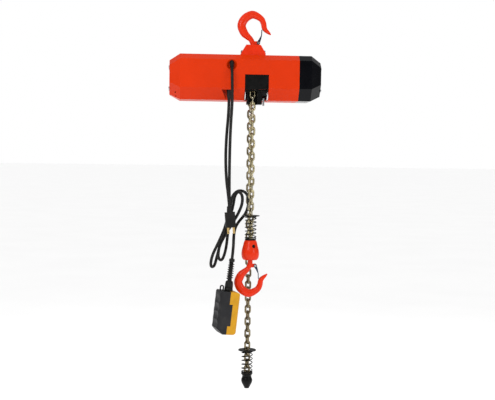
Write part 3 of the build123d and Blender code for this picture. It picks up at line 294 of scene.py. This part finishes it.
def soften(name, width):
    """Round a CAD piece's sharp edges without touching its own mesh."""
    piece = nodes_of[name]
    mesh = piece.data
    mesh.polygons.foreach_set("use_smooth", [True] * len(mesh.polygons))
    mesh.set_sharp_from_angle(angle=sharp_angle)
    if width:
        flat = piece.modifiers.new("flat", "DECIMATE")
        flat.decimate_type = "DISSOLVE"
        flat.angle_limit = radians(0.6)
        bevel = piece.modifiers.new("bevel", "BEVEL")
        bevel.width = width * MM
        bevel.segments = 3
        bevel.limit_method = "ANGLE"
        bevel.angle_limit = sharp_angle
        bevel.harden_normals = True
        bevel.use_clamp_overlap = True


# Rounding width in millimetres, and the pieces that get it.
rounded_pieces = {
    2.2: ["motor_cover", "centre_frame", "gear_housing", "end_cover"],
    1.4: ["pendant_rear_shell", "pendant_front_shell", "power_plug"],
    0.9: ["suspension_bracket", "pendant_strain_relief", "tail_weight", "hook_block_front", "hook_block_rear"],
    0.5: ["window_plate", "chain_guide", "limit_lever", "stop_plate", "tail_disc", "spring_seat",
          "pendant_eyelet", "housing_screws", "bracket_bolts", "top_hook_nut", "block_pin", "cord_glands",
          "up_button", "down_button"],
    0.3: ["top_latch", "load_latch", "top_latch_pin", "load_latch_pin", "plug_blades"],
}
for width, names in rounded_pieces.items():
    for name in names:
        soften(name, width)
with_edges = [name for names in rounded_pieces.values() for name in names]
for name in nodes_of:
    if name not in with_edges:
        soften(name, 0)


# ---------------------------------------------------------------- shapes built here
def new_piece(name, mesh, finish, body):
    """Object for a finished mesh, painted and riding on a CAD body."""
    piece = bpy.data.objects.new(name, mesh)
    bpy.context.scene.collection.objects.link(piece)
    mesh.materials.append(finishes[finish])
    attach(piece, body)
    return piece


def smooth_path(points, steps):
    """Catmull-Rom samples through rows of numbers, the ends kept."""
    samples = []
    for index in range(len(points) - 1):
        before = points[max(index - 1, 0)]
        start, end = points[index], points[index + 1]
        after = points[min(index + 2, len(points) - 1)]
        for step in range(steps):
            t = step / steps
            samples.append([
                s + 0.5 * ((e - b) * t + (2 * b - 5 * s + 4 * e - a) * t**2 + (3 * s - b - 3 * e + a) * t**3)
                for b, s, e, a in zip(before, start, end, after)
            ])
    samples.append(list(points[-1]))
    return samples


def circle(count):
    """Evenly spaced angles once round."""
    return [2 * pi * index / count for index in range(count)]


def smooth_mesh(shape, name):
    """Mesh of a finished bmesh, with its faces outward and smooth."""
    bmesh.ops.recalc_face_normals(shape, faces=shape.faces)
    for face in shape.faces:
        face.smooth = True
    mesh = bpy.data.meshes.new(name)
    shape.to_mesh(mesh)
    shape.free()
    return mesh


def skin(rings):
    """Mesh through rings of points, capped at its ends."""
    shape = bmesh.new()
    made = [[shape.verts.new(point) for point in ring] for ring in rings]
    count = len(rings[0])
    for lower, upper in zip(made, made[1:]):
        for index in range(count):
            following = (index + 1) % count
            shape.faces.new((lower[index], lower[following], upper[following], upper[index]))
    shape.faces.new(reversed(made[0]))
    shape.faces.new(made[-1])
    return smooth_mesh(shape, "skin")


# Millimetres, as the stations are. The bowl's thickness is a little under the CAD hook's, to stay inside it.
neck_rise = 54.0
shank_chamfer = 0.7
hook_fit = 0.96


def forged_hook(name, node, centre_z, up, shank_length, body):
    """Hook as one smooth forging: round shank, fuller bowl and a drawn-out nose."""
    thick = 2 * shank_radius / MM
    top = shank_length / MM
    stations = [(0.0, neck_rise, thick, thick)]
    for angle, radius, thickness, width in bowl_stations:
        stations.append((radius * cos(radians(angle)), radius * sin(radians(angle)), thickness, width))
    stations += nose_stations
    samples = smooth_path(stations, 7)
    thin = thick - 2 * shank_chamfer
    shank = [(0.0, top, thin, thin), (0.0, top - shank_chamfer, thick, thick)]
    shank += [(0.0, z, thick, thick) for z in (75.0, 66.0, 60.0, 57.0)]
    x, z = samples[-1][:2]
    along = Vector((samples[-1][0] - samples[-3][0], samples[-1][1] - samples[-3][1])).normalized()
    point = ((0.5, 4.3), (1.0, 3.3), (1.4, 1.8), (1.5, 0.4))
    tip = [(x + along.x * ahead, z + along.y * ahead, across, across) for ahead, across in point]
    path = shank + samples + tip
    rings = []
    for index, (x, z, thickness, width) in enumerate(path):
        before, after = path[max(index - 1, 0)], path[min(index + 1, len(path) - 1)]
        tangent = Vector((after[0] - before[0], after[1] - before[1])).normalized()
        across = Vector((-tangent.y, tangent.x))
        ring = []
        for angle in circle(36):
            out = across * (hook_fit * thickness / 2 * cos(angle))
            ring.append((
                (x + out.x) * MM, width / 2 * sin(angle) * MM, centre_z + up * (z + out.y) * MM))
        rings.append(ring)
    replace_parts(new_piece(name, skin(rings), "hook_paint", body), node)


def hook_lug(name, centre_z, up, body):
    """Bar out of the hook's neck with a round end on the latch pin."""
    x, z = latch_pivot
    outline = [(0.0, centre_z + up * (z + lug_radius)), (0.0, centre_z + up * (z - lug_radius))]
    for step in range(13):
        angle = -pi / 2 + pi * step / 12
        outline.append((x + lug_radius * cos(angle), centre_z + up * (z + lug_radius * sin(angle))))
    shape = bmesh.new()
    rows = [[shape.verts.new((u, side, v)) for u, v in outline] for side in (-lug_half, lug_half)]
    shape.faces.new(rows[0])
    shape.faces.new(rows[1])
    count = len(outline)
    for index in range(count):
        following = (index + 1) % count
        shape.faces.new((rows[0][index], rows[0][following], rows[1][following], rows[1][index]))
    piece = new_piece(name, smooth_mesh(shape, name), "hook_paint", body)
    edge = piece.modifiers.new("bevel", "BEVEL")
    edge.width = 1.2 * MM
    edge.segments = 3
    edge.limit_method = "ANGLE"
    edge.angle_limit = radians(30)
    edge.harden_normals = True


forged_hook("top_hook_forging", "top_hook", 0.0, -1, top_shank, "top_hook_body")
forged_hook("load_hook_forging", "load_hook", -hook_drop, 1, load_shank, "load_hook_body")
hook_lug("top_hook_lug", 0.0, -1, "top_hook_body")
hook_lug("load_hook_lug", -hook_drop, 1, "load_hook_body")


# ---------------------------------------------------------------- cords
def cord_curve(name, route, radius):
    """Round cord on one NURBS spline whose control points are the route's."""
    curve = bpy.data.curves.new(name, "CURVE")
    curve.dimensions = "3D"
    spline = curve.splines.new("NURBS")
    spline.points.add(len(route) - 1)
    for point, place in zip(spline.points, route):
        point.co = (*(value * MM for value in place), 1.0)
    spline.order_u = 3
    spline.use_endpoint_u = True
    spline.use_smooth = True
    curve.resolution_u = 12
    curve.bevel_depth = radius
    curve.bevel_resolution = 7
    curve.use_fill_caps = True
    curve.materials.append(finishes["black_rubber"])
    piece = bpy.data.objects.new(name, curve)
    bpy.context.scene.collection.objects.link(piece)
    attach(piece, "hoist_body")
    return piece


pendant_cable = cord_curve("pendant_cable", pendant_cord_route, cord_radius)
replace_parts(pendant_cable, "pendant_cord")
power_lead = cord_curve("power_lead", power_cord_route, cord_radius)
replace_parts(power_lead, "power_cord")

# ---------------------------------------------------------------- pendant strain relief with its spiral fin
pendant_up = Vector((sin(pendant_tilt), 0, cos(pendant_tilt)))
pendant_side = Vector((sin(pendant_turn), -cos(pendant_turn), 0))
pendant_side = (pendant_side - pendant_up * pendant_side.dot(pendant_up)).normalized()
pendant_ahead = pendant_up.cross(pendant_side)


def on_pendant(ahead, side, rise):
    """Point given along the pendant's own directions from the middle of its top."""
    return pendant_top + pendant_ahead * ahead + pendant_side * side + pendant_up * rise


def gland_rings(profile, flats, flat_top):
    """Rings about the pendant's axis from (height, radius) pairs, with flats on those below flat_top."""
    sector = 2 * pi / flats
    rings = []
    for height, radius in profile:
        ring = []
        for angle in circle(60):
            flatten = cos(sector / 2) / cos((angle % sector) - sector / 2) if height < flat_top else 1
            reach = radius * flatten * MM
            ring.append(on_pendant(reach * cos(angle), reach * sin(angle), height * MM))
        rings.append(ring)
    return rings


def fin_rings(turns, low, high):
    """Rings of a spiral fin about the pendant's axis that tapers upwards and thins out at both ends."""
    steps = turns * 32
    root, lip, half = 5.0 * MM, 0.5 * MM, 1.5 * MM
    rings = []
    for step in range(steps + 1):
        share = step / steps
        angle = 2 * pi * turns * share
        middle = low + (high - low) * share
        reach = (10.3 - 1.2 * share) * MM * min(1.0, 0.62 + 6 * min(share, 1 - share))
        section = (
            (root, -half * 1.2), (reach - lip, -half * 0.8), (reach, -half * 0.3),
            (reach, half * 0.3), (reach - lip, half * 0.8), (root, half * 1.2),
        )
        rings.append([on_pendant(out * cos(angle), out * sin(angle), middle + rise) for out, rise in section])
    return rings


# Height above the pendant's top and radius, in millimetres: nut, neck, sleeve and collar.
gland_profile = [
    (0.0, 12.6), (0.5, 13.1), (9.0, 13.1), (9.6, 12.2), (10.4, 12.2), (11.0, 12.9), (24.0, 12.0), (28.0, 11.2),
    (30.2, 9.6), (31.0, 7.2), (34.0, 6.2), (60.0, 5.9), (88.0, 5.7), (89.0, 7.8), (90.5, 8.7), (97.0, 8.3),
    (98.6, 7.2), (98.9, 4.7),
]
gland = new_piece("pendant_gland", skin(gland_rings(gland_profile, 12, 28.0)), "black_rubber", "hoist_body")
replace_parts(gland, "pendant_strain_relief")
new_piece("strain_relief_fin", skin(fin_rings(8, 34 * MM, 88 * MM)), "black_rubber", "hoist_body")

# ---------------------------------------------------------------- bright side walls of the chain opening
wall_play = 0.8 * MM
wall_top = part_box("chain_guide")[1][2] - wall_play
wall_bottom = -222 * MM
wall_front, wall_back = -30 * MM, 8 * MM
wall_corner = 14 * MM


def side_wall(name, left, right):
    """Bright plate standing in the opening, its lower front corner rounded to follow the body's chamfer."""
    outline = [(wall_back, wall_top), (wall_back, wall_bottom)]
    for step in range(9):
        angle = -pi / 2 - pi / 2 * step / 8
        outline.append((
            wall_front + wall_corner + wall_corner * cos(angle),
            wall_bottom + wall_corner + wall_corner * sin(angle),
        ))
    outline.append((wall_front, wall_top))
    rings = [[(x, y, z) for y, z in outline] for x in (left, left + 0.6 * MM, right - 0.6 * MM, right)]
    new_piece(name, skin(rings), "bright_alloy", "hoist_body")


side_wall("opening_wall_left", window_left + wall_play, window_left + 3.2 * MM)
side_wall("opening_wall_right", window_right - 4.0 * MM, window_right - wall_play)

# ---------------------------------------------------------------- springs
spring_wire = 1.5 * MM
closed_turns = 0.75


def coil_spring(name, node, turns, body):
    """Coil with closed ends that fills a CAD spring's box."""
    low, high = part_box(node)
    centre_y = (low[1] + high[1]) / 2
    coil_radius = (high[0] - low[0]) / 2 - spring_wire
    height = high[2] - low[2]
    open_turns = turns - 2 * closed_turns
    open_rise = (height - 2 * spring_wire * (1 + 2 * closed_turns)) / open_turns
    steps = 28
    rings = []
    for step in range(int(turns * steps) + 1):
        turn = step / steps
        opened = min(max(turn - closed_turns, 0), open_turns)
        z = low[2] + spring_wire + open_rise * opened + 2 * spring_wire * (turn - opened)
        angle = 2 * pi * turn
        ring = []
        for around in circle(10):
            reach = coil_radius + spring_wire * cos(around)
            ring.append((reach * cos(angle), centre_y + reach * sin(angle), z + spring_wire * sin(around)))
        rings.append(ring)
    spring = new_piece(name, skin(rings), "black_steel", body)
    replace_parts(spring, node)
    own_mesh(spring)


coil_spring("stop_spring_coil", "stop_spring", 7.0, "load_run")
coil_spring("tail_spring_coil", "tail_spring", 6.5, "slack_run")

# ---------------------------------------------------------------- floor, light and camera
floor_mesh = bpy.data.meshes.new("floor")
floor_size = 80.0
floor_level = -1.36
floor_corners = [(-1, -1), (1, -1), (1, 1), (-1, 1)]
floor_mesh.from_pydata(
    [(floor_size * x, floor_size * y, floor_level) for x, y in floor_corners], [], [(0, 1, 2, 3)])
floor = bpy.data.objects.new("floor", floor_mesh)
bpy.context.scene.collection.objects.link(floor)
floor_finish = Finish("pale_floor", (0.97, 0.97, 0.97), 0.9, specular=0.1).vary(0.01, 2).done(0.02, 2)
floor_mesh.materials.append(floor_finish)

world = bpy.context.scene.world or bpy.data.worlds.new("studio")
bpy.context.scene.world = world
world.use_nodes = True
world_nodes, world_links = world.node_tree.nodes, world.node_tree.links
white_room = world_nodes["Background"]
white_room.inputs["Color"].default_value = (1.0, 1.0, 1.0, 1)
white_room.inputs["Strength"].default_value = 1.0

# Reflections see a darker room, lighter towards its ceiling.
dark_room = world_nodes.new("ShaderNodeBackground")
direction = world_nodes.new("ShaderNodeTexCoord")
height = world_nodes.new("ShaderNodeSeparateXYZ")
ceiling = world_nodes.new("ShaderNodeMapRange")
ray = world_nodes.new("ShaderNodeLightPath")
rooms = world_nodes.new("ShaderNodeMixShader")
ceiling.inputs["From Min"].default_value = -0.1
ceiling.inputs["To Min"].default_value = 0.06
ceiling.inputs["To Max"].default_value = 0.9
world_links.new(direction.outputs["Generated"], height.inputs["Vector"])
world_links.new(height.outputs["Z"], ceiling.inputs["Value"])
world_links.new(ceiling.outputs["Result"], dark_room.inputs["Strength"])
world_links.new(ray.outputs["Is Glossy Ray"], rooms.inputs["Fac"])
world_links.new(white_room.outputs["Background"], rooms.inputs[1])
world_links.new(dark_room.outputs["Background"], rooms.inputs[2])
world_links.new(rooms.outputs["Shader"], world_nodes["World Output"].inputs["Surface"])


hoist_middle = Vector((0.0, 0.03, -0.45))


def soft_light(name, place, size, power):
    """Square area light aimed at the hoist's middle."""
    lamp = bpy.data.lights.new(name, "AREA")
    lamp.shape = "SQUARE"
    lamp.size = size
    lamp.energy = power
    holder = bpy.data.objects.new(name, lamp)
    bpy.context.scene.collection.objects.link(holder)
    holder.location = place
    holder.rotation_euler = (hoist_middle - Vector(place)).to_track_quat("-Z", "Y").to_euler()


soft_light("key", (-1.3, -2.0, 0.7), 0.9, 16)
soft_light("fill", (1.7, -1.6, -0.2), 0.7, 7)
soft_light("rim", (0.4, 1.8, 0.9), 1.2, 10)


view_yaw, view_pitch, view_roll = radians(-4.1), radians(2.69), radians(0.785)
view_target = Vector((-0.008, 0.036, -0.528))
view_distance = 2.975
view_lens = 70.0
back = Vector((sin(view_yaw) * cos(view_pitch), -cos(view_yaw) * cos(view_pitch), sin(view_pitch)))
right = Vector((cos(view_yaw), sin(view_yaw), 0.0))
up = back.cross(right)
turned_right = right * cos(view_roll) + up * sin(view_roll)
turned_up = up * cos(view_roll) - right * sin(view_roll)
bpy.context.scene.view_settings.view_transform = "Standard"
camera_data = bpy.data.cameras.new("camera")
camera_data.lens = view_lens
camera_data.sensor_width = 36.0
camera = bpy.data.objects.new("camera", camera_data)
bpy.context.scene.collection.objects.link(camera)
axes = Matrix((turned_right, turned_up, back)).transposed().to_4x4()
axes.translation = view_target + back * view_distance
camera.matrix_world = axes
bpy.context.scene.camera = camera
